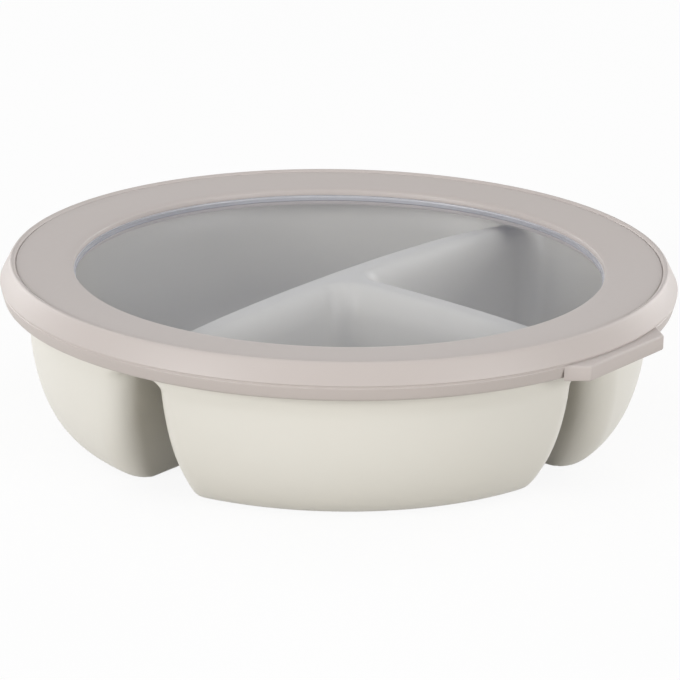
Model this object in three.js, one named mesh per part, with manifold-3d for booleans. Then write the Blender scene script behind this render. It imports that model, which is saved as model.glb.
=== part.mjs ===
// A round lunch bowl with three compartments and a lift-off lid. It is made of three mouldings:
// a one-piece bowl shell, a soft lid ring with a pull tab, and a translucent window held in the ring.
// Millimetres, +Z up. The bowl stands on z = 0 with its axis on x = y = 0. The long divider runs
// along Y, and the cross divider and the pull tab point along +X.
import * as THREE from "three";
import { mergeVertices } from "three/addons/utils/BufferGeometryUtils.js";
import Module from "manifold-3d";

const wasm = await Module();
wasm.setup();

// Clearance between pieces that touch
const SEAT_GAP = 0.3;

// Bowl shell: flat base, curved side, leaning upper wall, and a rim that ends in a round bead
const WALL = 2;
const BOWL_RADIUS = 93.2;
const SIDE_CURVE_REACH = 16.5;
const RIM_HEIGHT = 49.4;
const UPPER_WALL_HEIGHT = 14.2;
const UPPER_WALL_LEAN = THREE.MathUtils.degToRad(3);
const BEAD_REACH = 3.6;
const BEAD_HEIGHT = 3.2;
const BEAD_FILLET = 1.5;
const RIM_EDGE_ROUND = 0.8;

// Dividers: two drafted walls that turn in to a slender crest, over a slot that is open from below
const CREST_HALF_WIDTH = 5.9;
const CREST_ROUND_WIDTH = 4.3;
const CREST_ROUND_DEPTH = 9;
const CREST_DROP = 7;
const CREST_SKIN = 2.6;
const CREST_TO_WINDOW = 0.5;
const DIVIDER_DRAFT = THREE.MathUtils.degToRad(6.4);
const SLOT_ROOF_HALF_WIDTH = 0.4;
const SLOT_MOUTH_ROUND = 4.5;
const SLOT_MOUTH_CORNER = 2;

// Rounded corners of the cups. The ones at the wall tighten towards the foot, and the inner corners
// follow them one wall inside
const CUP_CORNER = 9.8;
const CUP_FOOT_CORNER = 3;
const CUP_FOOT_RISE = 9;
const LEAST_INNER_CORNER = 4;
const APEX_CORNER = 6.5;
const FLOOR_FILLET = 5;
const BASE_EDGE_ROUND = 1;

// Lid ring: skirt outside the bead, plug inside the rim, sloping top and the lips that hold the window
const SKIRT_THICKNESS = 4.05;
const SKIRT_FLARE = 3.7;
const PARTING_BELOW_RIM = 4;
const BAND_HEIGHT = 4.4;
const BAND_TAPER = 1.3;
const BAND_EDGE_ROUND = 0.8;
const TOP_THICKNESS = 2.4;
const TOP_FALL = 1.7;
const BORDER_WIDTH = 3.2;
const BORDER_DEPTH = 0.8;
const BORDER_EDGE_ROUND = 0.6;
const PLUG_DEPTH = 6;
const PLUG_THICKNESS = 2.2;
const RING_WIDTH = 22;
const RING_BEVEL = 3.2;
const PLATE_THICKNESS = 2.2;
const LIP_THICKNESS = 1.2;
const LIP_BACKING = 2;

// Lid window: a flat disc whose edge lies in the ring's groove
const WINDOW_RECESS = 3.8;
const WINDOW_THICKNESS = 1.6;
const WINDOW_LAP = 3;

// Pull tab: a flat trapezoid that stands out of the lower band
const TAB_REACH = 2.8;
const TAB_OUTER_WIDTH = 37;
const TAB_ROOT_WIDTH = 47;
const TAB_THICKNESS = 4.7;
const TAB_BELOW_PARTING = 0.15;
const TAB_EDGE_ROUND = 0.6;

// Facets
const ROUND_SEGMENTS = 60;
const PROFILE_STEPS = 3;
const SIDE_STEPS = 6;
const CORNER_STEPS = 4;
const DIVIDER_STEPS = 4;

// Construction allowances of the cuts, which leave no trace on the finished pieces
const CUT_MARGIN = 0.2;
const CUT_OVERRUN = 3;
const MERGE_DISTANCE = 1e-4;

// Sizes that follow from the ones above
const SHOULDER_HEIGHT = RIM_HEIGHT - UPPER_WALL_HEIGHT;
const RIM_RADIUS = outerRadius(RIM_HEIGHT) + BEAD_REACH;
const SKIRT_INNER_RADIUS = RIM_RADIUS + SEAT_GAP;
const LID_RADIUS = SKIRT_INNER_RADIUS + SKIRT_THICKNESS;
const LID_CREST_RADIUS = LID_RADIUS - SKIRT_FLARE;
const PARTING_HEIGHT = RIM_HEIGHT - PARTING_BELOW_RIM;
const CHANNEL_TOP = RIM_HEIGHT + SEAT_GAP;
const LID_TOP = CHANNEL_TOP + TOP_THICKNESS;
const WINDOW_TOP = LID_TOP - WINDOW_RECESS;
const WINDOW_BOTTOM = WINDOW_TOP - WINDOW_THICKNESS;
const WINDOW_OPENING = LID_RADIUS - RING_WIDTH;
const WINDOW_RADIUS = WINDOW_OPENING + WINDOW_LAP;
const CREST_HEIGHT = WINDOW_BOTTOM - CREST_TO_WINDOW;

// Outer radius of the bowl at a height: an elliptical quarter curve, then the leaning upper wall
function outerRadius(height) {
  if (height >= SHOULDER_HEIGHT) {
    return BOWL_RADIUS + Math.tan(UPPER_WALL_LEAN) * (height - SHOULDER_HEIGHT);
  }
  const depth = (SHOULDER_HEIGHT - height) / SHOULDER_HEIGHT;
  return BOWL_RADIUS - SIDE_CURVE_REACH * (1 - Math.sqrt(1 - depth * depth));
}

// Inner radius of the bowl at a height, one wall inside the outer curve
function innerRadius(height) {
  if (height >= SHOULDER_HEIGHT) {
    return outerRadius(height) - WALL;
  }
  const depth = (SHOULDER_HEIGHT - height) / (SHOULDER_HEIGHT - WALL);
  const reach = SIDE_CURVE_REACH - WALL;
  return BOWL_RADIUS - WALL - reach * (1 - Math.sqrt(Math.max(0, 1 - depth * depth)));
}

// Height of the dividers' crest at a distance from the axis: a long arch that falls to the wall
function crestHeight(radius) {
  const along = Math.min(radius / BOWL_RADIUS, 1);
  return CREST_HEIGHT - CREST_DROP * (1 - Math.sqrt(1 - along * along));
}

// Height of the slot's roof, one skin below the crest
function slotRoofHeight(radius) {
  return crestHeight(radius) - CREST_SKIN;
}

// How far a quarter-round edge has turned in, from 0 where it starts to 1 at its edge
function roundTurn(depth, size) {
  const left = THREE.MathUtils.clamp(1 - depth / size, 0, 1);
  return 1 - Math.sqrt(1 - left * left);
}

// Heights at which the curved side is sampled, from the floor up to the shoulder
function sideLevels(floor) {
  const levels = [];
  for (let step = 0; step <= SIDE_STEPS; step += 1) {
    const turn = (Math.PI / 2) * (1 - step / SIDE_STEPS);
    levels.push(SHOULDER_HEIGHT - (SHOULDER_HEIGHT - floor) * Math.sin(turn));
  }
  return levels;
}

// Heights at which a quarter-round edge below a top is sampled
function edgeLevels(top, size) {
  return [0, 30, 50, 70, 90].map((degrees) => top - size * (1 - Math.sin(THREE.MathUtils.degToRad(degrees))));
}

// Levels of a compartment's wall in rising order, up to its top, without near repeats
function wallLevels(floor, top, roundSize) {
  const levels = [...sideLevels(floor), ...edgeLevels(top, roundSize)];
  const rising = levels.filter((level) => level <= top).sort((low, high) => low - high);
  return rising.filter((level, index) => index === 0 || level - rising[index - 1] > CUT_MARGIN);
}

// Points on an arc, from one angle to another, ends included
function arcPoints(centre, radius, from, to, steps) {
  const points = [];
  for (let step = 0; step <= steps; step += 1) {
    const angle = from + ((to - from) * step) / steps;
    points.push(new THREE.Vector2(radius, 0).rotateAround(new THREE.Vector2(), angle).add(centre));
  }
  return points;
}

// Points between two points, ends left out
function between(from, to, steps) {
  const points = [];
  for (let step = 1; step < steps; step += 1) {
    points.push(from.clone().lerp(to, step / steps));
  }
  return points;
}

// Outline of one compartment at one level, counter-clockwise: a sector of a circle whose straight
// sides stand off the divider arms, with rounded corners at the wall and at the apex
function sectorOutline(sector, side, radius, corner, apex) {
  const reach = radius - corner;
  const offset = side + corner;
  const along = Math.sqrt(reach * reach - offset * offset);
  const turn = Math.asin(offset / reach);
  const arm = (angle) => new THREE.Vector2(Math.cos(angle), Math.sin(angle));
  const startNormal = arm(sector.start + Math.PI / 2);
  const endNormal = arm(sector.end - Math.PI / 2);
  const startCentre = arm(sector.start).multiplyScalar(along).addScaledVector(startNormal, offset);
  const endCentre = arm(sector.end).multiplyScalar(along).addScaledVector(endNormal, offset);
  const wallSteps = Math.round((ROUND_SEGMENTS * (sector.end - sector.start)) / (2 * Math.PI));
  const wall = arcPoints(new THREE.Vector2(), radius, sector.start + turn, sector.end - turn, wallSteps);
  const startCorner = arcPoints(
    startCentre, corner, sector.start - Math.PI / 2, sector.start + turn, CORNER_STEPS,
  );
  const endCorner = arcPoints(endCentre, corner, sector.end - turn, sector.end + Math.PI / 2, CORNER_STEPS);
  const apexCentre = arm(sector.start).add(arm(sector.end)).multiplyScalar(side + apex);
  const apexArc = sector.hasApex
    ? arcPoints(apexCentre, apex, sector.end + Math.PI / 2, sector.start + 1.5 * Math.PI, CORNER_STEPS)
    : [startNormal.clone().multiplyScalar(side)];
  return [
    ...startCorner,
    ...wall.slice(1, -1),
    ...endCorner,
    ...between(endCorner.at(-1), apexArc[0], DIVIDER_STEPS),
    ...apexArc,
    ...between(apexArc.at(-1), startCorner[0], DIVIDER_STEPS),
  ];
}

// Closed mesh through rings of equal count, bottom ring first, with a fan over each end
function loftGeometry(rings) {
  const count = rings[0].length;
  const positions = rings.flat().flatMap((point) => [point.x, point.y, point.z]);
  const indices = [];
  for (let ring = 0; ring + 1 < rings.length; ring += 1) {
    for (let index = 0; index < count; index += 1) {
      const next = (index + 1) % count;
      const low = ring * count;
      const high = low + count;
      indices.push(low + index, low + next, high + next);
      indices.push(low + index, high + next, high + index);
    }
  }
  const addFan = (ring, first, flipped) => {
    const centre = ring.reduce((sum, point) => sum.add(point), new THREE.Vector3()).divideScalar(count);
    const hub = positions.length / 3;
    positions.push(centre.x, centre.y, centre.z);
    for (let index = 0; index < count; index += 1) {
      const next = (index + 1) % count;
      indices.push(hub, first + (flipped ? next : index), first + (flipped ? index : next));
    }
  };
  addFan(rings[0], 0, true);
  addFan(rings.at(-1), (rings.length - 1) * count, false);
  const geometry = new THREE.BufferGeometry();
  geometry.setAttribute("position", new THREE.Float32BufferAttribute(positions, 3));
  geometry.setIndex(indices);
  return geometry;
}

// Solid of a closed mesh, with shared vertices merged and collapsed triangles left out
function solidFrom(geometry) {
  const bare = new THREE.BufferGeometry();
  bare.setAttribute("position", geometry.getAttribute("position"));
  bare.setIndex(geometry.index);
  const merged = mergeVertices(bare, MERGE_DISTANCE);
  const corners = Array.from(merged.index.array);
  const triangles = [];
  for (let first = 0; first < corners.length; first += 3) {
    const [a, b, c] = corners.slice(first, first + 3);
    if (a !== b && b !== c && c !== a) {
      triangles.push(a, b, c);
    }
  }
  return new wasm.Manifold(new wasm.Mesh({
    numProp: 3,
    vertProperties: new Float32Array(merged.getAttribute("position").array),
    triVerts: new Uint32Array(triangles),
  }));
}

// Mesh geometry of a solid
function geometryFrom(solid) {
  const { vertProperties, triVerts } = solid.getMesh();
  const geometry = new THREE.BufferGeometry();
  geometry.setAttribute("position", new THREE.Float32BufferAttribute(vertProperties, 3));
  geometry.setIndex(Array.from(triVerts));
  geometry.computeVertexNormals();
  return geometry;
}

// Solid of revolution about Z. The profile runs up the outside, so its faces point out
function revolve(profile) {
  return solidFrom(new THREE.LatheGeometry(profile, ROUND_SEGMENTS).rotateX(Math.PI / 2));
}

// Solid below a lid of revolution: from a height function of the radius up to a flat top
function domedDisc(heightAt, radius, top) {
  const profile = [];
  for (let step = 0; step <= 2 * DIVIDER_STEPS; step += 1) {
    const reach = Math.min(BOWL_RADIUS, radius) * Math.sin((Math.PI / 2) * (step / (2 * DIVIDER_STEPS)));
    profile.push(new THREE.Vector2(reach, heightAt(reach)));
  }
  profile.push(new THREE.Vector2(radius, heightAt(radius)));
  profile.push(new THREE.Vector2(radius, top));
  profile.push(new THREE.Vector2(0, top));
  return revolve(profile);
}

// Solid of one compartment: outlines lofted from the floor up to an arched top, then past it.
// Each level is arched like the top, so that it stays level along the outer wall
function compartment(sector, shape) {
  const topAtWall = shape.topAt(shape.wallRadius);
  const rings = shape.levels.map((level) => {
    const radius = shape.radiusAt(level) + CUT_MARGIN;
    const rise = (level - shape.floor) / (topAtWall - shape.floor);
    const outline = sectorOutline(sector, shape.sideAt(level), radius, shape.cornerAt(level), shape.apex);
    return outline.map((point) => {
      const top = shape.topAt((shape.wallRadius * point.length()) / radius);
      return new THREE.Vector3(point.x, point.y, shape.floor + (top - shape.floor) * rise);
    });
  });
  const lowered = rings[0].map((point) => point.clone().setZ(shape.floor - CUT_OVERRUN));
  const raised = rings.at(-1).map((point) => point.clone().setZ(shape.topAt(0) + CUT_OVERRUN));
  return solidFrom(loftGeometry([lowered, ...rings, raised]));
}

// The three compartments between the divider arms: a half with one straight side, and two quarters
// whose straight sides meet in an apex
const SECTORS = [
  { start: Math.PI / 2, end: 1.5 * Math.PI, hasApex: false },
  { start: -Math.PI / 2, end: 0, hasApex: true },
  { start: 0, end: Math.PI / 2, hasApex: true },
];

// Half width of a divider at a depth below its crest, from the drafted walls and the floor's fillet
function dividerHalfWidth(depth, heightAboveFloor, fillet) {
  const drafted = CREST_HALF_WIDTH + Math.tan(DIVIDER_DRAFT) * depth;
  return drafted + fillet * roundTurn(heightAboveFloor, fillet);
}

// Outer corner of a cup beside a slot at a height, wide above and tight at the foot
function cupCorner(height) {
  return THREE.MathUtils.lerp(CUP_CORNER, CUP_FOOT_CORNER, roundTurn(height, CUP_FOOT_RISE));
}

// Outside of the three cups: slot walls one wall inside the dividers, closing to a roof under the crest
const slotTopAtWall = slotRoofHeight(BOWL_RADIUS);
const cupShape = {
  floor: 0,
  topAt: slotRoofHeight,
  wallRadius: BOWL_RADIUS,
  levels: wallLevels(0, slotTopAtWall, SLOT_MOUTH_ROUND),
  radiusAt: outerRadius,
  sideAt: (level) => {
    const depth = slotTopAtWall - level;
    const open = dividerHalfWidth(depth + CREST_SKIN, level, BASE_EDGE_ROUND) - WALL;
    return THREE.MathUtils.lerp(open, SLOT_ROOF_HALF_WIDTH, roundTurn(depth, SLOT_MOUTH_ROUND));
  },
  cornerAt: (level) => {
    const turn = roundTurn(slotTopAtWall - level, SLOT_MOUTH_ROUND);
    return THREE.MathUtils.lerp(cupCorner(level), SLOT_MOUTH_CORNER, turn);
  },
  apex: APEX_CORNER + WALL,
};

// Inside of the three compartments: divider walls that turn in to a slender crest
const cavityTopAtWall = crestHeight(innerRadius(RIM_HEIGHT));
const cavityShape = {
  floor: WALL,
  topAt: crestHeight,
  wallRadius: innerRadius(RIM_HEIGHT),
  levels: wallLevels(WALL, cavityTopAtWall, CREST_ROUND_DEPTH),
  radiusAt: innerRadius,
  sideAt: (level) => {
    const depth = cavityTopAtWall - level;
    const drafted = dividerHalfWidth(depth, level - WALL, FLOOR_FILLET);
    return drafted - CREST_ROUND_WIDTH * roundTurn(depth, CREST_ROUND_DEPTH);
  },
  cornerAt: (level) => Math.max(cupCorner(level) - WALL, LEAST_INNER_CORNER),
  apex: APEX_CORNER,
};

// Profile of the bowl's outside, from the middle of the base to the top of the bead
function bowlOutsideProfile() {
  const beadFoot = RIM_HEIGHT - BEAD_HEIGHT;
  const wallTop = beadFoot - BEAD_FILLET;
  const beadRound = BEAD_HEIGHT / 2;
  const path = new THREE.Path();
  path.moveTo(0, 0);
  const wallHeights = cupShape.levels.filter((level) => level < wallTop);
  wallHeights.forEach((level) => path.lineTo(outerRadius(level), level));
  path.lineTo(outerRadius(wallTop), wallTop);
  path.quadraticCurveTo(outerRadius(beadFoot), beadFoot, outerRadius(beadFoot) + BEAD_FILLET, beadFoot);
  path.lineTo(RIM_RADIUS - beadRound, beadFoot);
  path.absarc(RIM_RADIUS - beadRound, RIM_HEIGHT - beadRound, beadRound, -Math.PI / 2, Math.PI / 2, false);
  path.lineTo(0, RIM_HEIGHT);
  return path.getPoints(PROFILE_STEPS);
}

// Profile of the bowl's inside, from the middle of the floor up through the rim's rounded inner edge
function bowlInsideProfile() {
  const edge = RIM_HEIGHT - RIM_EDGE_ROUND;
  const path = new THREE.Path();
  path.moveTo(0, WALL);
  const wallHeights = cavityShape.levels.filter((level) => level < edge);
  wallHeights.forEach((level) => path.lineTo(innerRadius(level), level));
  path.lineTo(innerRadius(edge), edge);
  path.quadraticCurveTo(
    innerRadius(RIM_HEIGHT), RIM_HEIGHT, innerRadius(RIM_HEIGHT) + RIM_EDGE_ROUND, RIM_HEIGHT,
  );
  path.lineTo(innerRadius(RIM_HEIGHT) + RIM_EDGE_ROUND, RIM_HEIGHT + CUT_OVERRUN);
  path.lineTo(0, RIM_HEIGHT + CUT_OVERRUN);
  return path.getPoints(PROFILE_STEPS);
}

// One shell: three cups under a common arched roof and rim, hollowed by three compartments
function bowlSolid() {
  const reach = RIM_RADIUS + CUT_OVERRUN;
  const top = RIM_HEIGHT + CUT_OVERRUN;
  const cups = SECTORS.map((sector) => compartment(sector, cupShape));
  const cavities = SECTORS.map((sector) => compartment(sector, cavityShape));
  const outsideForm = cups.reduce((sum, cup) => sum.add(cup), domedDisc(slotRoofHeight, reach, top));
  const insideForm = cavities.reduce((sum, cavity) => sum.add(cavity), domedDisc(crestHeight, reach, top));
  const outside = revolve(bowlOutsideProfile()).intersect(outsideForm);
  const inside = revolve(bowlInsideProfile()).intersect(insideForm);
  return outside.subtract(inside);
}

// Section of the lid ring, followed from the upper lip over the top, down the skirt and back below
function ringProfile() {
  const innerTop = LID_TOP - TOP_FALL;
  const borderTop = LID_TOP - BORDER_DEPTH;
  const bandBottom = PARTING_HEIGHT - BAND_HEIGHT;
  const bandRadius = LID_RADIUS - BAND_TAPER;
  const plugBottom = RIM_HEIGHT - PLUG_DEPTH;
  const plugOuter = innerRadius(plugBottom) - SEAT_GAP;
  const plugInner = plugOuter - PLUG_THICKNESS;
  const plugRound = PLUG_THICKNESS / 2;
  const grooveRadius = WINDOW_RADIUS + SEAT_GAP;
  const grooveTop = WINDOW_TOP + SEAT_GAP;
  const grooveBottom = WINDOW_BOTTOM - SEAT_GAP;
  const lipBottom = grooveBottom - LIP_THICKNESS;
  const backing = grooveRadius + LIP_BACKING;
  const underside = innerTop - PLATE_THICKNESS;
  const lipEdge = (grooveTop + innerTop) / 2;
  const path = new THREE.Path();
  path.moveTo(WINDOW_OPENING, grooveTop);
  path.lineTo(WINDOW_OPENING, lipEdge);
  path.quadraticCurveTo(WINDOW_OPENING, innerTop, WINDOW_OPENING + RING_BEVEL, innerTop);
  path.lineTo(LID_CREST_RADIUS - BORDER_WIDTH, borderTop);
  path.quadraticCurveTo(
    LID_CREST_RADIUS - BORDER_EDGE_ROUND, borderTop, LID_CREST_RADIUS - BORDER_EDGE_ROUND / 2, LID_TOP,
  );
  path.quadraticCurveTo(
    LID_CREST_RADIUS + BORDER_EDGE_ROUND, LID_TOP, LID_CREST_RADIUS + BORDER_EDGE_ROUND, borderTop,
  );
  path.lineTo(LID_RADIUS, PARTING_HEIGHT);
  path.lineTo(bandRadius, bandBottom + BAND_EDGE_ROUND);
  path.quadraticCurveTo(bandRadius, bandBottom, bandRadius - BAND_EDGE_ROUND, bandBottom);
  path.lineTo(SKIRT_INNER_RADIUS, bandBottom);
  path.lineTo(SKIRT_INNER_RADIUS, CHANNEL_TOP);
  path.lineTo(plugOuter, CHANNEL_TOP);
  path.lineTo(plugOuter, plugBottom + plugRound);
  path.absarc(plugOuter - plugRound, plugBottom + plugRound, plugRound, 0, -Math.PI, true);
  path.lineTo(plugInner, underside);
  path.lineTo(backing, underside);
  path.lineTo(backing, lipBottom);
  path.lineTo(WINDOW_OPENING, lipBottom);
  path.lineTo(WINDOW_OPENING, grooveBottom);
  path.lineTo(grooveRadius, grooveBottom);
  path.lineTo(grooveRadius, grooveTop);
  path.lineTo(WINDOW_OPENING, grooveTop);
  return path.getPoints(PROFILE_STEPS).reverse();
}

// Pull tab with rounded edges, its root inside the skirt
function tabSolid() {
  const root = SKIRT_INNER_RADIUS + SKIRT_THICKNESS / 4 + TAB_EDGE_ROUND;
  const end = LID_RADIUS + TAB_REACH - TAB_EDGE_ROUND;
  const halfRoot = TAB_ROOT_WIDTH / 2 - TAB_EDGE_ROUND;
  const halfEnd = TAB_OUTER_WIDTH / 2 - TAB_EDGE_ROUND;
  const outline = new THREE.Shape();
  outline.moveTo(root, -halfRoot);
  outline.lineTo(end, -halfEnd);
  outline.lineTo(end, halfEnd);
  outline.lineTo(root, halfRoot);
  outline.closePath();
  const geometry = new THREE.ExtrudeGeometry(outline, {
    depth: TAB_THICKNESS - 2 * TAB_EDGE_ROUND,
    bevelThickness: TAB_EDGE_ROUND,
    bevelSize: TAB_EDGE_ROUND,
    bevelSegments: 2,
  });
  const top = PARTING_HEIGHT - TAB_BELOW_PARTING;
  geometry.translate(0, 0, top - TAB_THICKNESS + TAB_EDGE_ROUND);
  geometry.deleteAttribute("normal");
  geometry.deleteAttribute("uv");
  return solidFrom(mergeVertices(geometry, MERGE_DISTANCE));
}

// Section of the window disc, with its edge slightly rounded
function windowProfile() {
  const round = WINDOW_THICKNESS / 4;
  const path = new THREE.Path();
  path.moveTo(0, WINDOW_BOTTOM);
  path.lineTo(WINDOW_RADIUS - round, WINDOW_BOTTOM);
  path.lineTo(WINDOW_RADIUS, WINDOW_BOTTOM + round);
  path.lineTo(WINDOW_RADIUS, WINDOW_TOP - round);
  path.lineTo(WINDOW_RADIUS - round, WINDOW_TOP);
  path.lineTo(0, WINDOW_TOP);
  return path.getPoints(PROFILE_STEPS);
}

// Named mesh of one piece, with its finish
function piece(name, solid, finish) {
  const mesh = new THREE.Mesh(geometryFrom(solid), new THREE.MeshStandardMaterial(finish));
  mesh.name = name;
  return mesh;
}

const bowlFinish = { color: 0xe4e2d9, roughness: 0.55, metalness: 0 };
const ringFinish = { color: 0xd2c6c1, roughness: 0.6, metalness: 0 };
const windowFinish = { color: 0xd9dcde, roughness: 0.3, metalness: 0, transparent: true, opacity: 0.5 };

const lid = new THREE.Group();
lid.add(piece("lid_ring", revolve(ringProfile()).add(tabSolid()), ringFinish));
lid.add(piece("lid_window", revolve(windowProfile()), windowFinish));

const lunchBowl = new THREE.Group();
lunchBowl.add(piece("bowl", bowlSolid(), bowlFinish));
lunchBowl.add(lid);

export default lunchBowl;
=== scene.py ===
"""Looks of a round lunch bowl with compartments and a lift-off lid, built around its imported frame."""

import math

import bmesh
import bpy
import numpy as np
from bpy.props import FloatProperty, FloatVectorProperty, IntProperty, PointerProperty
from mathutils import Matrix, Vector


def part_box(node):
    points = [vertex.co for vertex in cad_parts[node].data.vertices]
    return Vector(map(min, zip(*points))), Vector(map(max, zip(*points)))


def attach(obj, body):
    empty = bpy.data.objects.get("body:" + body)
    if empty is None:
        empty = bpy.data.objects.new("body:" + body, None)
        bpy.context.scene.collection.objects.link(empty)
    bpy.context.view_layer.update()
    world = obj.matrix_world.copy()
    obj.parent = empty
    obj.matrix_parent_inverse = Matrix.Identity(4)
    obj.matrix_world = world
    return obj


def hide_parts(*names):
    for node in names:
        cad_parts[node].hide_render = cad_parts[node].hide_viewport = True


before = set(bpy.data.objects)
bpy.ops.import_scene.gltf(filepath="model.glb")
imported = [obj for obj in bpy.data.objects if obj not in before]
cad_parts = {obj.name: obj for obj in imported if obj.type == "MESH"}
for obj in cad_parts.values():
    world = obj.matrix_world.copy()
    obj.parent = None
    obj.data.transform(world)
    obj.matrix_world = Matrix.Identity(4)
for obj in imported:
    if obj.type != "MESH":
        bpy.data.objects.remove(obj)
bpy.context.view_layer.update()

bl_info = {
    "name": "Lunch bowl",
    "version": (1, 0, 0),
    "blender": (4, 5, 0),
    "location": "3D View > Sidebar > Lunch bowl",
    "description": "Builds the shell, lid ring and window of a round lunch bowl, and a plain studio",
    "category": "Object",
}

BOWL_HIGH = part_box("bowl")[1]
RING_LOW, RING_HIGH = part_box("lid_ring")
WINDOW_LOW, WINDOW_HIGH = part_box("lid_window")

ROUND_STEPS = 4  # straight pieces along each rounded edge
SIDE_SHARE = 0.49  # most of a side that one rounding takes, so that two on a side stay apart
SHARP_TURN = math.radians(32)  # a surface that turns more than this keeps a hard edge
SAME_PLACE = 1e-6  # metres, less than any real distance on the bowl
TINY = 1e-9  # keeps a division away from zero
MERGE_SHARE = 0.001  # share of the surface grid within which two points become one
PROBE_SHARE = 0.02  # share of the surface grid over which a slope is measured
LEAST_SLOPE = 0.2  # squared slope that a point's move is worked out with, at least
SATIN_SPREAD = 0.06  # how far the satin patches go below and above the mean roughness
SATIN_GRAINS = 6  # grains of the surface across one satin patch
PIT_DEPTH = 0.0001  # metres, full depth of the grain's pits
WHITE = (1, 1, 1)


def length(name, description, metres):
    """A length property in metres."""
    return FloatProperty(name=name, description=description, default=metres, unit="LENGTH", precision=5)


def angle(name, description, degrees):
    """An angle property, given in degrees and kept in radians."""
    return FloatProperty(name=name, description=description, default=math.radians(degrees), subtype="ANGLE")


def optic(name, description, millimetres):
    """A camera length property in millimetres."""
    return FloatProperty(name=name, description=description, default=millimetres, unit="CAMERA")


def share(name, description, default):
    """A share from 0 to 1."""
    return FloatProperty(name=name, description=description, default=default, min=0, max=1, subtype="FACTOR")


def number(name, description, default):
    """A plain number that isn't below zero."""
    return FloatProperty(name=name, description=description, default=default, min=0)


def count(name, description, default):
    """A whole number of steps around or across a form."""
    return IntProperty(name=name, description=description, default=default, min=3)


def power(name, description, watts):
    """A lamp's power in watts."""
    return FloatProperty(name=name, description=description, default=watts, min=0, unit="POWER")


def spot(name, description, metres):
    """A place in metres, as seen from the camera: to the right, away from it, and up."""
    return FloatVectorProperty(
        name=name, description=description, default=metres, size=3, subtype="TRANSLATION"
    )


def linear_light(value):
    """Linear light of one screen value from 0 to 255."""
    screen = value / 255
    return screen / 12.92 if screen <= 0.04045 else ((screen + 0.055) / 1.055) ** 2.4


def colour(name, description, rgb):
    """A colour property, given as it looks on screen and kept as linear light."""
    linear = [linear_light(value) for value in rgb]
    return FloatVectorProperty(
        name=name, description=description, default=linear, size=3, min=0, max=1, subtype="COLOR"
    )


class ShellSettings(bpy.types.PropertyGroup):
    """Sizes and finish of the bowl shell."""

    rim_height: length("Rim height", "Height of the rim above the base", BOWL_HIGH.z)
    rim_radius: length("Rim radius", "Outer radius of the bead along the rim", BOWL_HIGH.x)
    radius: length("Bowl radius", "Outer radius at the shoulder, where the curved side ends", 0.0932)
    curve_reach: length("Side curve", "How far the curved side draws in down to the base", 0.0165)
    upper_wall: length("Upper wall", "Height of the wall between the shoulder and the rim", 0.0142)
    lean: angle("Wall lean", "Outward lean of the upper wall", 3)
    wall: length("Wall", "Thickness of the moulded wall", 0.002)
    bead_height: length("Bead height", "Height of the bead along the rim", 0.0032)
    bead_fillet: length("Bead fillet", "Fillet between the wall and the bead", 0.0015)
    crest_height: length("Crest height", "Height of the dividers' crest at the middle", 0.0462)
    crest_drop: length("Crest drop", "How far the crest falls towards the wall", 0.007)
    crest_half_width: length("Crest half width", "Half a divider's width at its unrounded crest", 0.0059)
    crest_round_width: length("Crest round width", "How far the crest's edges turn in", 0.0043)
    crest_round_depth: length("Crest round depth", "How far down the crest's edges start to turn in", 0.009)
    crest_skin: length("Crest skin", "Material between the crest and the slot's roof", 0.0026)
    draft: angle("Divider draft", "Slope of the divider walls", 6.4)
    apex_corner: length("Apex corner", "Inner corner where two dividers meet", 0.0065)
    floor_fillet: length("Floor fillet", "Fillet between divider and floor", 0.005)
    crest_end: length("Crest end fillet", "Fillet where a crest runs into the wall", 0.002)
    cup_corner: length("Cup corner", "Outer corner beside a slot", 0.0098)
    foot_corner: length("Foot corner", "Outer corner beside a slot, at the foot", 0.003)
    foot_rise: length("Foot rise", "Height over which the outer corner tightens", 0.009)
    base_round: length("Base round", "Rounding of the cups' bottom edges along the slots", 0.001)
    slot_round_width: length("Slot round width", "How far the slot's walls turn in to its roof", 0.0028)
    slot_round_depth: length("Slot round depth", "How far below its roof the slot's walls turn in", 0.0045)
    mouth_corner: length("Slot mouth corner", "Outer corner beside a slot, at its roof", 0.002)
    edge_round: length("Edge round", "Rounding of the rim's edges", 0.0006)
    grid: length("Surface grid", "Spacing of the surface points", 0.00095)
    tone: colour("Shell colour", "Off-white of the moulded shell", (226, 224, 218))
    tone_slow: colour("Shell mottling colour", "Slightly warmer tone of the slow mottling", (225, 222, 213))
    mottling: number("Shell mottling", "Patches of the slow mottling in a metre", 9)
    roughness: share("Shell roughness", "Mean roughness of the satin surface", 0.42)
    grain: number("Shell grain", "Grains of the satin surface in a metre", 2600)
    relief: share("Shell relief", "Strength of the grain's relief", 0.12)
    ior: number("Shell IOR", "Index of refraction of the plastic", 1.5)


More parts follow.
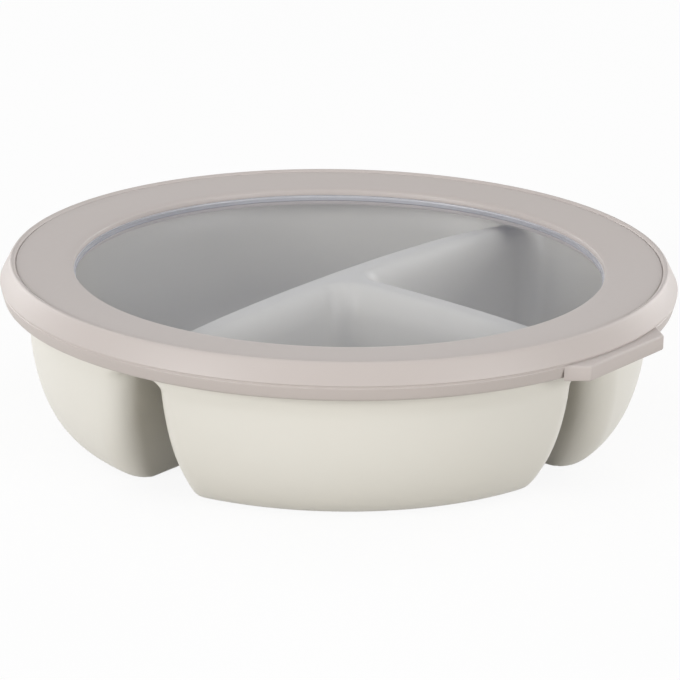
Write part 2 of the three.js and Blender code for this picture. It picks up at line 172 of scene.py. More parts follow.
class RingSettings(bpy.types.PropertyGroup):
    """Sizes and finish of the lid ring and its pull tab."""

    radius: length("Ring radius", "Largest radius, at the parting line", -RING_LOW.x)
    top: length("Ring top", "Height of the ring's crest", RING_HIGH.z)
    tab_end: length("Tab end", "Distance of the tab's edge from the axis", RING_HIGH.x)
    tab_bottom: length("Tab bottom", "Height of the tab's underside", RING_LOW.z)
    tab_thickness: length("Tab thickness", "Thickness of the pull tab", 0.0047)
    tab_outer_width: length("Tab outer width", "Width of the tab along its edge", 0.037)
    tab_root_width: length("Tab root width", "Width of the tab at its root", 0.047)
    tab_root: share("Tab root", "Share of the skirt's thickness that the tab's root reaches into", 0.75)
    tab_round: length("Tab round", "Rounding of the tab's edges", 0.0007)
    parting: length("Parting height", "Height of the parting line", 0.0454)
    flare: length("Skirt flare", "How far the skirt flares from the crest to the parting line", 0.0037)
    band_height: length("Band height", "Height of the band below the parting line", 0.0044)
    band_taper: length("Band taper", "How far the band draws in", 0.0013)
    band_round: length("Band round", "Rounding of the band's lower edge", 0.001)
    groove: length("Parting groove", "Depth and half height of the parting line's groove", 0.00045)
    top_fall: length("Top fall", "How far the top falls from the crest to the window", 0.0017)
    crest_width: length("Crest width", "Width of the crest outside the fine line", 0.0009)
    crest_step: length("Crest step", "How far the crest's inner edge stands over the border", 0.0001)
    crest_reach: length("Crest reach", "How far out the crest turns over into the skirt", 0.0008)
    crest_fall: length("Crest fall", "How far the crest falls where it turns over into the skirt", 0.0005)
    crest_round: length("Crest round", "Rounding of the crest", 0.0007)
    edge_line: length("Edge line", "Width and depth of the fine line inside the crest", 0.00038)
    border_width: length("Border width", "Width of the hollow border inside the crest", 0.0032)
    border_depth: length("Border depth", "Depth of the hollow border", 0.0008)
    border_round: length("Border round", "Rounding where the top meets the hollow border", 0.0009)
    bevel: length("Inner bevel", "Width of the rounded edge at the window", 0.0032)
    width: length("Ring width", "Width of the ring from the window to the parting line", 0.022)
    lip: length("Lip", "Thickness of the lip below the window", 0.0012)
    lip_round: length("Lip round", "Rounding of the lip's lower edge", 0.0004)
    backing: length("Lip backing", "Material behind the window's edge", 0.002)
    plate: length("Plate", "Thickness of the ring's top", 0.0022)
    roof: length("Channel roof", "Thickness of the ring over the rim", 0.0024)
    skirt: length("Skirt", "Thickness of the skirt at the parting line", 0.00405)
    plug_depth: length("Plug depth", "How far the plug reaches below the rim", 0.006)
    plug: length("Plug", "Thickness of the plug", 0.0022)
    plug_round: length("Plug round", "Rounding of the plug's lower edges", 0.0012)
    inner_round: length("Inner round", "Rounding of the lower edges behind the skirt and the lip", 0.0005)
    fine_round: length("Fine round", "Rounding of the fine edges and the inner corners", 0.0002)
    gap: length("Seat gap", "Clearance to the bowl and below the window", 0.0003)
    window_gap: length("Window gap", "Clearance over the window, where the soft ring lies on it", 0.00004)
    segments: count("Ring segments", "Flat pieces around the ring", 288)
    tone: colour("Ring colour", "Pale blush taupe of the soft ring", (193, 185, 182))
    tone_slow: colour("Ring mottling colour", "Slightly warmer tone of the slow mottling", (192, 183, 178))
    mottling: number("Ring mottling", "Patches of the slow mottling in a metre", 9)
    roughness: share("Ring roughness", "Mean roughness of the soft surface", 0.48)
    grain: number("Ring grain", "Grains of the soft surface in a metre", 3200)
    relief: share("Ring relief", "Strength of the grain's relief", 0.1)
    ior: number("Ring IOR", "Index of refraction of the soft plastic", 1.48)
    sheen: share("Ring sheen", "Weight of the soft sheen", 0.08)


class WindowSettings(bpy.types.PropertyGroup):
    """Sizes and finish of the lid window."""

    radius: length("Window radius", "Radius of the disc", WINDOW_HIGH.x)
    bottom: length("Window bottom", "Height of the underside", WINDOW_LOW.z)
    top: length("Window top", "Height of the upper side", WINDOW_HIGH.z)
    edge: length("Window edge", "Rounding of the disc's edge", 0.0004)
    segments: count("Window segments", "Flat pieces around the disc", 192)
    rings: count("Window rings", "Steps from the disc's middle to its edge", 12)
    tone: colour("Window colour", "Cool grey of the haze in the clear plastic", (186, 193, 215))
    tone_slow: colour("Window haze colour", "Slightly paler tone of the slow haze", (191, 197, 217))
    mottling: number("Window mottling", "Patches of the slow haze in a metre", 14)
    roughness: share("Window roughness", "Mean roughness of the smooth surface", 0.25)
    grain: number("Window grain", "Grains of the smooth surface in a metre", 1800)
    relief: share("Window relief", "Strength of the grain's relief", 0.02)
    ior: number("Window IOR", "Index of refraction of the clear plastic", 1.46)
    haze: share("Window haze share", "Share of the view that the haze covers", 0.13)
    # Painted light: the thicker, near-white haze at the disc's edge stands in for the light that this edge
    # catches.
    edge_light_haze: share("Edge haze share", "Share that the haze covers where the ring holds the disc", 0.95)
    edge_light_tone: colour("Edge colour", "Milky tone where the ring holds the disc", (240, 240, 243))
    edge_fade: length("Edge fade", "Width over which the haze thickens towards the edge", 0.0008)


class StageSettings(bpy.types.PropertyGroup):
    """Camera, light and floor."""

    lens: optic("Lens", "Focal length", 178.87)
    sensor: optic("Sensor", "Width of the picture plane", 36)
    distance: length("Distance", "From the camera to the middle of the parting line", 1.02)
    view_depth: length("View depth", "How far the camera sees", 20)
    elevation: angle("Elevation", "Height of the camera over the horizon", 17.32)
    azimuth: angle("Azimuth", "Turn of the camera about the bowl, from -Y towards +X", 38)
    roll: angle("Roll", "Turn of the picture", 0.96)
    tilt: angle("Tilt", "How far the camera looks below the middle of the parting line", 1.065)
    pan: angle("Pan", "How far the camera looks to the side", -0.034)
    floor_reach: length("Floor reach", "From the middle of the floor to its edges", 6)
    floor_gap: length("Floor gap", "How far the floor lies below the base", 0.0002)
    floor_tone: colour("Floor colour", "Pale floor, as it lights the bowl from below", (188, 184, 176))
    floor_roughness: share("Floor roughness", "Roughness of the dull floor", 0.9)
    floor_glow: share("Floor glow", "How much of the floor shows as plain white", 0.9)
    sky: number("Sky", "Strength of the even light all around", 0.12)
    sky_seen: share("Seen sky", "How white that light shows to the camera and in gloss", 0.8)
    lamp_size: length("Lamp size", "Width of each low lamp", 0.6)
    lamp_aim: length("Lamp aim", "Height over the base that the lamps face", 0.03)
    left_spot: spot("Left lamp place", "Where the left lamp stands", (-0.98, -0.88, 0.32))
    left_power: power("Left lamp", "Power of the soft lamp on the left", 11.8)
    right_spot: spot("Right lamp place", "Where the right lamp stands", (1.05, -0.82, 0.32))
    right_power: power("Right lamp", "Power of the soft lamp on the right", 9.3)
    back_spot: spot("Back lamp place", "Where one stands; the other mirrors it", (1, 0.86, 0.36))
    back_power: power("Back lamps", "Power of each of the two soft lamps behind the bowl", 6)
    top_spot: spot("Top lamp place", "Where the overhead lamp hangs", (0, -0.1, 1.4))
    top_size: length("Top lamp size", "Width of the overhead lamp", 2.2)
    top_power: power("Top lamp", "Power of the wide lamp overhead", 11)


class LunchBowlSettings(bpy.types.PropertyGroup):
    """All settings of the lunch bowl."""

    shell: PointerProperty(type=ShellSettings)
    ring: PointerProperty(type=RingSettings)
    window: PointerProperty(type=WindowSettings)
    stage: PointerProperty(type=StageSettings)


def new_object(name, data):
    """A linked object for a mesh, a lamp or a camera."""
    made = bpy.data.objects.new(name, data)
    bpy.context.scene.collection.objects.link(made)
    return made


# Distance fields: below zero inside a form, in metres


def round_cut(first, second, radius):
    """Where both forms are, with the edge between them rounded."""
    reach = np.hypot(np.maximum(radius + first, 0), np.maximum(radius + second, 0))
    return np.minimum(-radius, np.maximum(first, second)) + reach


def round_join(first, second, radius):
    """Where either form is, with the corner between them filled by a fillet."""
    reach = np.hypot(np.maximum(radius - first, 0), np.maximum(radius - second, 0))
    return np.maximum(radius, np.minimum(first, second)) - reach


def quarter_turn(depth, size):
    """How far a quarter round has turned in, from 1 at its edge to 0 where it ends."""
    left = np.clip(1 - depth / size, 0, 1)
    return 1 - np.sqrt(1 - left**2)


def wall_radius(z, s, shoulder):
    """Outer radius of the bowl at a height: elliptical side up to the shoulder, then a leaning wall."""
    curved = s.radius - s.curve_reach * quarter_turn(z, shoulder)
    return np.where(z > shoulder, s.radius + math.tan(s.lean) * (z - shoulder), curved)


def side_field(rho, z, s, shoulder):
    """Inside of the bowl's round side, one wall in: flat floor, elliptical side, then a leaning wall."""
    radius = s.radius - s.wall
    reach = s.curve_reach - s.wall
    drop = shoulder - s.wall
    across = np.maximum(rho - (radius - reach), 0) / reach
    down = np.maximum(shoulder - z, 0) / drop
    level = np.sqrt(across**2 + down**2) + TINY
    slope = np.sqrt((across / reach) ** 2 + (down / drop) ** 2) / level + TINY
    upper = (rho - radius - math.tan(s.lean) * (z - shoulder)) * math.cos(s.lean)
    return np.where(z > shoulder, upper, (level - 1) / slope)


def sectors_field(x, y, half_width, apex, draft):
    """The half and the two quarters between the divider arms, with rounded apexes."""
    half = x + half_width
    quarter = round_cut(half_width - x, half_width - np.abs(y), apex)
    return np.minimum(half, quarter) * math.cos(draft)


def shell_field(points, s):
    """Distance field of the bowl shell at an array of points."""
    x, y, z = points[..., 0], points[..., 1], points[..., 2]
    rho = np.hypot(x, y)
    shoulder = s.rim_height - s.upper_wall
    crest = s.crest_height - s.crest_drop * quarter_turn(s.radius - np.minimum(rho, s.radius), s.radius)
    half_width = s.crest_half_width + math.tan(s.draft) * (crest - z)

    # Outside: three cups, joined by the roof over the slots
    cups = sectors_field(x, y, half_width - s.wall, s.apex_corner + s.wall, s.draft)
    under_roof = (crest - s.crest_skin - z) * s.slot_round_width / s.slot_round_depth
    cup_corner = s.cup_corner + (s.foot_corner - s.cup_corner) * quarter_turn(z, s.foot_rise)
    outside = rho - wall_radius(z, s, shoulder)
    walls = round_cut(round_cut(cups, outside, cup_corner), -z, s.base_round)
    roof = round_cut(under_roof, outside, s.mouth_corner)
    body = round_join(walls, roof, s.slot_round_width)

    # Bead along the rim, cut level at the top
    bead = s.bead_height / 2
    past = np.maximum(rho - (s.rim_radius - bead), 0)
    ring = np.hypot(past, z - (s.rim_height - bead)) - bead
    ring = np.maximum(ring, s.radius - s.wall - rho)
    body = round_join(body, ring, s.bead_fillet)
    body = round_cut(body, z - s.rim_height, s.edge_round)

    # Inside: three compartments, joined over the crests
    cavities = sectors_field(x, y, half_width, s.apex_corner, s.draft)
    over_crest = (crest - z) * s.crest_round_width / s.crest_round_depth
    inside = side_field(rho, z, s, shoulder)
    compartments = round_cut(cavities, inside, np.maximum(cup_corner - s.wall, s.floor_fillet))
    hollow = round_join(compartments, round_cut(over_crest, inside, s.crest_end), s.crest_round_width)
    return round_cut(body, -hollow, s.edge_round)


def net_points(field, cells, corners):
    """One point in each cell, in grid steps: the middle of where the cell's edges cross the surface."""
    total = np.zeros((len(cells), 3))
    crossings = np.zeros(len(cells))
    for corner in corners:
        for axis in range(3):
            if corner[axis]:
                continue
            start = cells + corner
            end = start.copy()
            end[:, axis] += 1
            first, second = field[tuple(start.T)], field[tuple(end.T)]
            cut = (first < 0) != (second < 0)
            along = np.where(cut, first / np.where(cut, first - second, 1), 0)
            point = start.astype(float)
            point[:, axis] += along
            total[cut] += point[cut]
            crossings += cut
    return total / crossings[:, None]


def net_quads(inside, number):
    """A quad around each grid edge that crosses the surface, through the points of its four cells."""
    quads = []
    for axis in range(3):
        one, two = (axis + 1) % 3, (axis + 2) % 3
        head = [slice(None)] * 3
        tail = [slice(None)] * 3
        head[axis], tail[axis] = slice(0, -1), slice(1, None)
        before, after = inside[tuple(head)], inside[tuple(tail)]
        edges = np.argwhere(before != after)
        around = []
        for shift_one, shift_two in ((-1, -1), (0, -1), (0, 0), (-1, 0)):
            cell = edges.copy()
            cell[:, one] += shift_one
            cell[:, two] += shift_two
            around.append(number[tuple(cell.T)])
        quad = np.stack(around, 1)
        outward = before[tuple(edges.T)]
        quads.append(np.where(outward[:, None], quad, quad[:, ::-1]))
    return np.concatenate(quads)


def surface_net(field, low, step):
    """Points and quads of a field's zero surface. The surface stays off the outer cells of the grid."""
    inside = field < 0
    corners = [(i, j, k) for i in (0, 1) for j in (0, 1) for k in (0, 1)]
    wide, deep, tall = (n - 1 for n in field.shape)
    filled = np.zeros((wide, deep, tall), dtype=int)
    for i, j, k in corners:
        filled += inside[i : i + wide, j : j + deep, k : k + tall]
    crossed = (filled > 0) & (filled < len(corners))
    cells = np.argwhere(crossed)
    number = np.full(crossed.shape, -1)
    number[crossed] = np.arange(len(cells))
    return low + step * net_points(field, cells, corners), net_quads(inside, number)


def settle(points, field, step, passes=3):
    """Moves points along the field's slope onto its zero surface."""
    probe = step * PROBE_SHARE
    for _ in range(passes):
        value = field(points)
        rises = [field(points + probe * way) - field(points - probe * way) for way in np.eye(3)]
        slope = np.stack(rises, -1) / (2 * probe)
        steepness = np.maximum((slope**2).sum(-1), LEAST_SLOPE)
        move = np.clip(value / steepness, -step / 2, step / 2)
        points = points - move[:, None] * slope
    return points


def shell_mesh(s):
    """Smooth closed mesh of the bowl shell."""
    margin = 2 * s.grid
    low = np.array([-s.rim_radius - margin, -s.rim_radius - margin, -margin])
    high = np.array([s.rim_radius + margin, s.rim_radius + margin, s.rim_height + margin])
    axes = [low[i] + s.grid * np.arange(math.ceil((high[i] - low[i]) / s.grid) + 1) for i in range(3)]
    layers = []
    for z in axes[2]:
        layer = np.stack(np.meshgrid(axes[0], axes[1], [z], indexing="ij"), -1)
        layers.append(shell_field(layer, s)[..., 0])
    points, quads = surface_net(np.stack(layers, -1), low, s.grid)
    points = settle(points, lambda places: shell_field(places, s), s.grid)
    mesh = bpy.data.meshes.new("bowl_shell")
    mesh.from_pydata(points.tolist(), [], quads.tolist())
    bm = bmesh.new()
    bm.from_mesh(mesh)
    bmesh.ops.remove_doubles(bm, verts=bm.verts, dist=s.grid * MERGE_SHARE)
    bm.to_mesh(mesh)
    bm.free()
    mesh.shade_smooth()
    return mesh


def rounded_path(corners):
    """A closed section through (radius, height, rounding) corners, each rounded by a curve."""
    path = []
    for index, (rho, z, rounding) in enumerate(corners):
        here = Vector((rho, z))
        if not rounding:
            path.append(here)
            continue
        before = Vector(corners[index - 1][:2]) - here
        after = Vector(corners[(index + 1) % len(corners)][:2]) - here
        start = here + before.normalized() * min(rounding, before.length * SIDE_SHARE)
        end = here + after.normalized() * min(rounding, after.length * SIDE_SHARE)
        for step in range(ROUND_STEPS + 1):
            t = step / ROUND_STEPS
            path.append(start * (1 - t) ** 2 + here * 2 * t * (1 - t) + end * t**2)
    return path


def revolved_mesh(name, path, segments):
    """Closed mesh of a section turned about Z. A section that starts and ends on the axis closes there."""
    mesh = bpy.data.meshes.new(name)
    bm = bmesh.new()
    turns = [2 * math.pi * i / segments for i in range(segments)]
    rings = []
    for point in path:
        if point.x < SAME_PLACE:
            rings.append([bm.verts.new((0, 0, point.y))])
            continue
        rings.append([bm.verts.new((point.x * math.cos(t), point.x * math.sin(t), point.y)) for t in turns])
    on_axis = len(rings[0]) == 1
    pairs = zip(rings, rings[1:]) if on_axis else zip(rings, rings[1:] + rings[:1])
    for low, high in pairs:
        for i in range(segments):
            j = (i + 1) % segments
            around = [low[i % len(low)], low[j % len(low)], high[j % len(high)], high[i % len(high)]]
            bm.faces.new(list(dict.fromkeys(around)))
    bmesh.ops.recalc_face_normals(bm, faces=bm.faces)
    bm.to_mesh(mesh)
    bm.free()
    return mesh


def soften(mesh):
    """Smooth shading with edges kept where the surface turns sharply."""
    mesh.shade_smooth()
    mesh.set_sharp_from_angle(angle=SHARP_TURN)


def ring_section(r, shell, window):
    """Section of the lid ring, from the window's lip over the top, down the skirt and back below."""
    opening = r.radius - r.width
    inner_top = r.top - r.top_fall
    crest = r.radius - r.flare
    crest_inner = crest - r.crest_width
    border_top = r.top - r.border_depth
    band_bottom = r.parting - r.band_height
    band = r.radius - r.band_taper
    channel_top = r.top - r.roof
    skirt_inner = r.radius - r.skirt
    plug_bottom = shell.rim_height - r.plug_depth
    shoulder = shell.rim_height - shell.upper_wall
    inner_wall = shell.radius - shell.wall + math.tan(shell.lean) * (plug_bottom - shoulder)
    plug_outer = inner_wall - r.gap
    plug_inner = plug_outer - r.plug
    seat_top = window.top + r.window_gap
    seat_bottom = window.bottom - r.gap
    seat_radius = window.radius + r.gap
    lip_bottom = seat_bottom - r.lip
    back = seat_radius + r.backing
    underside = inner_top - r.plate
    return [
        (opening, seat_top, r.fine_round),
        (opening, inner_top, r.bevel),
        (crest - r.border_width, border_top, r.border_round),
        (crest_inner - r.edge_line, border_top, r.fine_round),
        (crest_inner - r.edge_line / 2, border_top - r.edge_line, 0),
        (crest_inner, border_top + r.crest_step, r.fine_round),
        (crest, r.top, r.crest_round),
        (crest + r.crest_reach, r.top - r.crest_fall, r.crest_round),
        (r.radius, r.parting + r.groove, r.fine_round),
        (r.radius - r.groove, r.parting + r.groove / 2, 0),
        (r.radius - r.groove, r.parting - r.groove / 2, 0),
        (r.radius - r.groove / 2, r.parting - r.groove, r.fine_round),
        (band, band_bottom, r.band_round),
        (skirt_inner, band_bottom, r.inner_round),
        (skirt_inner, channel_top, r.fine_round),
        (plug_outer, channel_top, r.fine_round),
        (plug_outer, plug_bottom, r.plug_round),
        (plug_inner, plug_bottom, r.plug_round),
        (plug_inner, underside, r.fine_round),
        (back, underside, r.fine_round),
        (back, lip_bottom, r.inner_round),
        (opening, lip_bottom, r.lip_round),
        (opening, seat_bottom, r.fine_round),
        (seat_radius, seat_bottom, 0),
        (seat_radius, seat_top, 0),
    ]


def tab_mesh(r):
    """Pull tab: a flat trapezoid with rounded edges, its root inside the skirt."""
    root = r.radius - r.tab_root * r.skirt
    outline = [
        (root, -r.tab_root_width / 2),
        (r.tab_end, -r.tab_outer_width / 2),
        (r.tab_end, r.tab_outer_width / 2),
        (root, r.tab_root_width / 2),
    ]
    mesh = bpy.data.meshes.new("pull_tab")
    bm = bmesh.new()
    base = bm.faces.new([bm.verts.new((x, y, r.tab_bottom)) for x, y in outline])
    raised = bmesh.ops.extrude_face_region(bm, geom=[base])
    tops = [v for v in raised["geom"] if isinstance(v, bmesh.types.BMVert)]
    bmesh.ops.translate(bm, verts=tops, vec=(0, 0, r.tab_thickness))
    bmesh.ops.recalc_face_normals(bm, faces=bm.faces)
    outer = [e for e in bm.edges if any(v.co.x > root + SAME_PLACE for v in e.verts)]
    bmesh.ops.bevel(
        bm, geom=outer, offset=r.tab_round, segments=ROUND_STEPS, profile=0.5, affect="EDGES"
    )
    bm.to_mesh(mesh)
    bm.free()
    return mesh


def window_section(w):
    """Section of the window, from the axis along its underside, round its edge and back over its top."""
    steps = [w.radius * i / w.rings for i in range(w.rings)]
    under = [Vector((rho, w.bottom)) for rho in steps]
    over = [Vector((rho, w.top)) for rho in reversed(steps)]
    edge = rounded_path(
        [(0, w.bottom, 0), (w.radius, w.bottom, w.edge), (w.radius, w.top, w.edge), (0, w.top, 0)]
    )
    return under + edge[1:-1] + over


def node(tree, kind, place, **values):
    """A shader node with its inputs set by name."""
    made = tree.nodes.new(kind)
    made.location = place
    for name, value in values.items():
        made.inputs[name.replace("_", " ")].default_value = value
    return made


def colour_mix(tree, place, first, second):
    """A shader node that blends from one colour to another."""
    made = tree.nodes.new("ShaderNodeMix")
    made.data_type = "RGBA"
    made.location = place
    made.inputs["A"].default_value = (*first, 1)
    made.inputs["B"].default_value = (*second, 1)
    return made


def moulded_finish(name, s):
    """Moulded plastic: slow mottling in its colour, fine satin grain in its roughness and surface."""
    material = bpy.data.materials.new(name)
    material.use_nodes = True
    tree = material.node_tree
    shader = tree.nodes["Principled BSDF"]
    shader.inputs["IOR"].default_value = s.ior
    place = node(tree, "ShaderNodeTexCoord", (-1000, 0)).outputs["Object"]

    mottle = node(tree, "ShaderNodeTexNoise", (-780, 260), Scale=s.mottling, Detail=3.0, Roughness=0.55)
    mix = colour_mix(tree, (-400, 260), s.tone, s.tone_slow)
    tree.links.new(place, mottle.inputs["Vector"])
    tree.links.new(mottle.outputs["Fac"], mix.inputs["Factor"])
    tree.links.new(mix.outputs["Result"], shader.inputs["Base Color"])

    patches = s.grain / SATIN_GRAINS
    smoothest = s.roughness - SATIN_SPREAD
    roughest = s.roughness + SATIN_SPREAD
    satin = node(tree, "ShaderNodeTexNoise", (-780, 0), Scale=patches, Detail=4.0, Roughness=0.6)
    spread = node(tree, "ShaderNodeMapRange", (-400, 0), To_Min=smoothest, To_Max=roughest)
    tree.links.new(place, satin.inputs["Vector"])
    tree.links.new(satin.outputs["Fac"], spread.inputs["Value"])
    tree.links.new(spread.outputs["Result"], shader.inputs["Roughness"])

    pits = node(tree, "ShaderNodeTexNoise", (-780, -260), Scale=s.grain, Detail=2.0, Roughness=0.5)
    relief = node(tree, "ShaderNodeBump", (-400, -260), Strength=s.relief, Distance=PIT_DEPTH)
    tree.links.new(place, pits.inputs["Vector"])
    tree.links.new(pits.outputs["Fac"], relief.inputs["Height"])
    tree.links.new(relief.outputs["Normal"], shader.inputs["Normal"])
    return material, shader


class LUNCHBOWL_OT_shell(bpy.types.Operator):
    """Build the one-piece bowl shell with its compartments and double-walled dividers"""

    bl_idname = "lunch_bowl.shell"
    bl_label = "Bowl shell"

    def execute(self, context):
        s = context.scene.lunch_bowl.shell
        shell = new_object("bowl_shell", shell_mesh(s))
        finish, _ = moulded_finish("satin_off_white", s)
        shell.data.materials.append(finish)
        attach(shell, "bowl")
        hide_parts("bowl")
        return {"FINISHED"}


class LUNCHBOWL_OT_ring(bpy.types.Operator):
    """Build the soft lid ring with its pull tab"""

    bl_idname = "lunch_bowl.ring"
    bl_label = "Lid ring"

    def execute(self, context):
        settings = context.scene.lunch_bowl
        r = settings.ring
        path = rounded_path(ring_section(r, settings.shell, settings.window))
        plain = revolved_mesh("soft_lid_ring", path, r.segments)
        ring = new_object("soft_lid_ring", plain)
        tab = new_object("pull_tab", tab_mesh(r))
        join = ring.modifiers.new("tab", "BOOLEAN")
        join.operation = "UNION"
        join.solver = "EXACT"
        join.object = tab
        graph = context.evaluated_depsgraph_get()
        joined = bpy.data.meshes.new_from_object(ring.evaluated_get(graph))
        if len(joined.vertices) < len(plain.vertices) / 2:
            raise RuntimeError("the pull tab could not be joined to the ring")
        ring.modifiers.clear()
        ring.data = joined
        bpy.data.objects.remove(tab)
        soften(joined)
        finish, shader = moulded_finish("soft_blush_taupe", r)
        shader.inputs["Sheen Weight"].default_value = r.sheen
        joined.materials.clear()
        joined.materials.append(finish)
        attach(ring, "lid")
        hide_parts("lid_ring")
        return {"FINISHED"}


class LUNCHBOWL_OT_window(bpy.types.Operator):
    """Build the translucent window of the lid"""

    bl_idname = "lunch_bowl.window"
    bl_label = "Lid window"

    def execute(self, context):
        settings = context.scene.lunch_bowl
        w = settings.window
        opening = settings.ring.radius - settings.ring.width
        mesh = revolved_mesh("translucent_window", window_section(w), w.segments)
        window = new_object("translucent_window", mesh)
        soften(mesh)
        finish, shader = moulded_finish("translucent_cool", w)
        self.painted_edge_light(finish.node_tree, shader, w, opening)
        mesh.materials.append(finish)
        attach(window, "lid")
        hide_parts("lid_window")
        return {"FINISHED"}

    def painted_edge_light(self, tree, shader, w, opening):
        """Painted light: thickens and whitens the haze where the ring holds the disc, by the distance from
        the axis, so that the disc's edge shows as a pale, lit band.
        """
        place = node(tree, "ShaderNodeTexCoord", (-1000, -560))
        flat = node(tree, "ShaderNodeVectorMath", (-780, -560))
        flat.operation = "MULTIPLY"
        flat.inputs[1].default_value = (1, 1, 0)
        reach = node(tree, "ShaderNodeVectorMath", (-590, -560))
        reach.operation = "LENGTH"
        fade_start = opening - w.edge_fade
        near = node(tree, "ShaderNodeMapRange", (-400, -560), From_Min=fade_start, From_Max=opening)
        thick = node(tree, "ShaderNodeMapRange", (-200, -560), To_Min=w.haze, To_Max=w.edge_light_haze)
        tree.links.new(place.outputs["Object"], flat.inputs[0])
        tree.links.new(flat.outputs["Vector"], reach.inputs[0])
        tree.links.new(reach.outputs["Value"], near.inputs["Value"])
        tree.links.new(near.outputs["Result"], thick.inputs["Value"])
        tree.links.new(thick.outputs["Result"], shader.inputs["Alpha"])

        # Painted highlight: the base colour turns near-white towards the disc's edge.
        mottled = shader.inputs["Base Color"].links[0].from_socket
        whiten = colour_mix(tree, (-200, 260), w.tone, w.edge_light_tone)
        tree.links.new(near.outputs["Result"], whiten.inputs["Factor"])
        tree.links.new(mottled, whiten.inputs["A"])
        tree.links.new(whiten.outputs["Result"], shader.inputs["Base Color"])


def lamp(name, place, size, watts, aim):
    """A soft square lamp that faces a height on the bowl's axis."""
    data = bpy.data.lights.new(name, "AREA")
    data.shape = "SQUARE"
    data.size = size
    data.energy = watts
    made = new_object(name, data)
    made.location = place
    made.rotation_euler = (Vector((0, 0, aim)) - place).to_track_quat("-Z", "Y").to_euler()


def seen_share(tree, most):
    """A share that is above zero only for rays from the camera, mirrors and glass."""
    path = node(tree, "ShaderNodeLightPath", (-900, 300))
    seen = path.outputs["Is Camera Ray"]
    for name in ("Is Glossy Ray", "Is Transmission Ray"):
        pick = node(tree, "ShaderNodeMath", (-700, 300))
        pick.operation = "MAXIMUM"
        tree.links.new(seen, pick.inputs[0])
        tree.links.new(path.outputs[name], pick.inputs[1])
        seen = pick.outputs[0]
    scaled = node(tree, "ShaderNodeMath", (-500, 300))
    scaled.operation = "MULTIPLY"
    scaled.inputs[1].default_value = most
    tree.links.new(seen, scaled.inputs[0])
    return scaled.outputs[0]


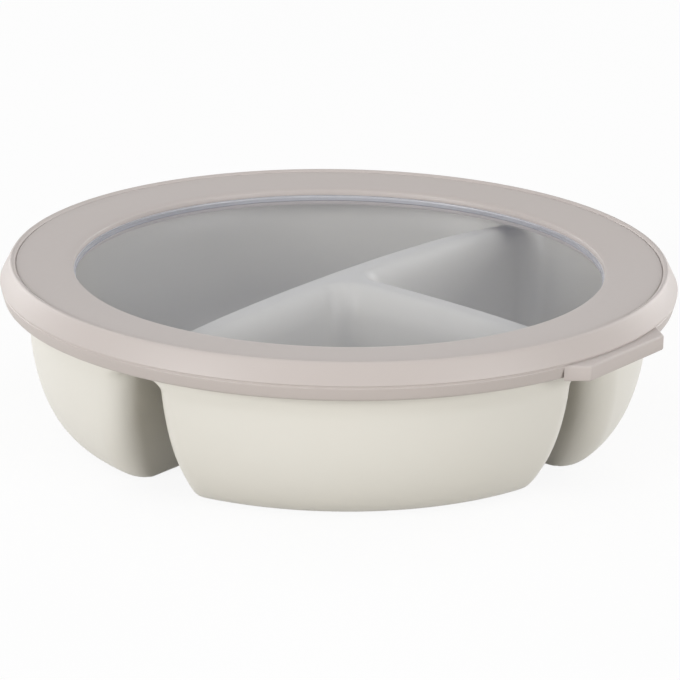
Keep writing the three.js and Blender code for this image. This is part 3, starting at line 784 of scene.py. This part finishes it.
class LUNCHBOWL_OT_stage(bpy.types.Operator):
    """Set up the pale floor, the soft studio light and the camera"""

    bl_idname = "lunch_bowl.stage"
    bl_label = "Studio"

    def execute(self, context):
        scene = context.scene
        settings = scene.lunch_bowl
        s = settings.stage
        scene.view_settings.view_transform = "Standard"
        self.floor(s)
        self.sky(scene, s)
        self.lamps(s)
        scene.camera = self.camera(s, settings.ring.parting)
        return {"FINISHED"}

    def floor(self, s):
        """Pale floor that shows as nearly white and keeps the bowl's shadow."""
        mesh = bpy.data.meshes.new("floor")
        corners = [(x * s.floor_reach, y * s.floor_reach, 0) for x, y in ((-1, -1), (1, -1), (1, 1), (-1, 1))]
        mesh.from_pydata(corners, [], [(0, 1, 2, 3)])
        floor = new_object("floor", mesh)
        floor.location.z = -s.floor_gap
        material = bpy.data.materials.new("pale_floor")
        material.use_nodes = True
        tree = material.node_tree
        shader = tree.nodes["Principled BSDF"]
        shader.inputs["Roughness"].default_value = s.floor_roughness
        shader.inputs["Specular IOR Level"].default_value = 0
        tint = colour_mix(tree, (-250, 0), s.floor_tone, WHITE)
        tree.links.new(seen_share(tree, 1), tint.inputs["Factor"])
        tree.links.new(tint.outputs["Result"], shader.inputs["Base Color"])
        glow = node(tree, "ShaderNodeEmission", (0, -300), Strength=1.0)
        blend = tree.nodes.new("ShaderNodeMixShader")
        tree.links.new(seen_share(tree, s.floor_glow), blend.inputs["Fac"])
        tree.links.new(shader.outputs["BSDF"], blend.inputs[1])
        tree.links.new(glow.outputs["Emission"], blend.inputs[2])
        tree.links.new(blend.outputs["Shader"], tree.nodes["Material Output"].inputs["Surface"])
        mesh.materials.append(material)

    def sky(self, scene, s):
        """Even light all around, which shows paler than it lights."""
        world = bpy.data.worlds.new("studio")
        scene.world = world
        world.use_nodes = True
        tree = world.node_tree
        soft = tree.nodes["Background"]
        soft.inputs["Color"].default_value = (*WHITE, 1)
        soft.inputs["Strength"].default_value = s.sky
        white = node(tree, "ShaderNodeBackground", (0, -200), Color=(*WHITE, 1), Strength=s.sky_seen)
        blend = tree.nodes.new("ShaderNodeMixShader")
        tree.links.new(seen_share(tree, 1), blend.inputs["Fac"])
        tree.links.new(soft.outputs["Background"], blend.inputs[1])
        tree.links.new(white.outputs["Background"], blend.inputs[2])
        tree.links.new(blend.outputs["Shader"], tree.nodes["World Output"].inputs["Surface"])

    def lamps(self, s):
        """Soft lamps around the bowl, turned with the camera."""
        right, away, up = s.back_spot
        lamps = (
            ("left_lamp", s.left_spot, s.lamp_size, s.left_power),
            ("right_lamp", s.right_spot, s.lamp_size, s.right_power),
            ("back_left_lamp", (-right, away, up), s.lamp_size, s.back_power),
            ("back_right_lamp", s.back_spot, s.lamp_size, s.back_power),
            ("top_lamp", s.top_spot, s.top_size, s.top_power),
        )
        turn = Matrix.Rotation(s.azimuth, 3, "Z")
        for name, place, size, watts in lamps:
            lamp(name, turn @ Vector(place), size, watts, s.lamp_aim)

    def camera(self, s, parting):
        """Camera that faces the middle of the parting line, then tilts, pans and rolls."""
        data = bpy.data.cameras.new("camera")
        data.lens = s.lens
        data.sensor_width = s.sensor
        data.clip_end = s.view_depth
        made = new_object("camera", data)
        away = Vector((0, -math.cos(s.elevation), math.sin(s.elevation)))
        right = Vector((1, 0, 0))
        up = away.cross(right)
        facing = Matrix((right, -up, -away))  # rows: right, down and forward in the picture
        turned = (
            Matrix.Rotation(s.roll, 3, "Z")
            @ Matrix.Rotation(s.tilt, 3, "X")
            @ Matrix.Rotation(s.pan, 3, "Y")
            @ facing
        )
        about = Matrix.Rotation(s.azimuth, 3, "Z")
        axes = Matrix((about @ turned[0], -(about @ turned[1]), -(about @ turned[2]))).transposed()
        place = about @ (away * s.distance) + Vector((0, 0, parting))
        made.matrix_world = Matrix.Translation(place) @ axes.to_4x4()
        return made


class LUNCHBOWL_PT_panel(bpy.types.Panel):
    """Pieces of the lunch bowl and their settings"""

    bl_idname = "LUNCHBOWL_PT_panel"
    bl_label = "Lunch bowl"
    bl_space_type = "VIEW_3D"
    bl_region_type = "UI"
    bl_category = "Lunch bowl"

    def draw(self, context):
        settings = context.scene.lunch_bowl
        groups = (settings.shell, settings.ring, settings.window, settings.stage)
        for group, operator in zip(groups, OPERATORS):
            box = self.layout.box()
            box.operator(operator.bl_idname)
            for prop in group.bl_rna.properties:
                if prop.identifier not in ("rna_type", "name"):
                    box.prop(group, prop.identifier)


OPERATORS = (LUNCHBOWL_OT_shell, LUNCHBOWL_OT_ring, LUNCHBOWL_OT_window, LUNCHBOWL_OT_stage)
CLASSES = (
    ShellSettings,
    RingSettings,
    WindowSettings,
    StageSettings,
    LunchBowlSettings,
    *OPERATORS,
    LUNCHBOWL_PT_panel,
)


def register():
    """Registers the classes and the scene's settings."""
    for cls in CLASSES:
        bpy.utils.register_class(cls)
    bpy.types.Scene.lunch_bowl = PointerProperty(type=LunchBowlSettings)


def unregister():
    """Removes the settings and the classes."""
    del bpy.types.Scene.lunch_bowl
    for cls in reversed(CLASSES):
        bpy.utils.unregister_class(cls)


def main():
    """Builds every piece and the studio."""
    register()
    bpy.ops.lunch_bowl.shell()
    bpy.ops.lunch_bowl.ring()
    bpy.ops.lunch_bowl.window()
    bpy.ops.lunch_bowl.stage()


if __name__ == "__main__":
    main()
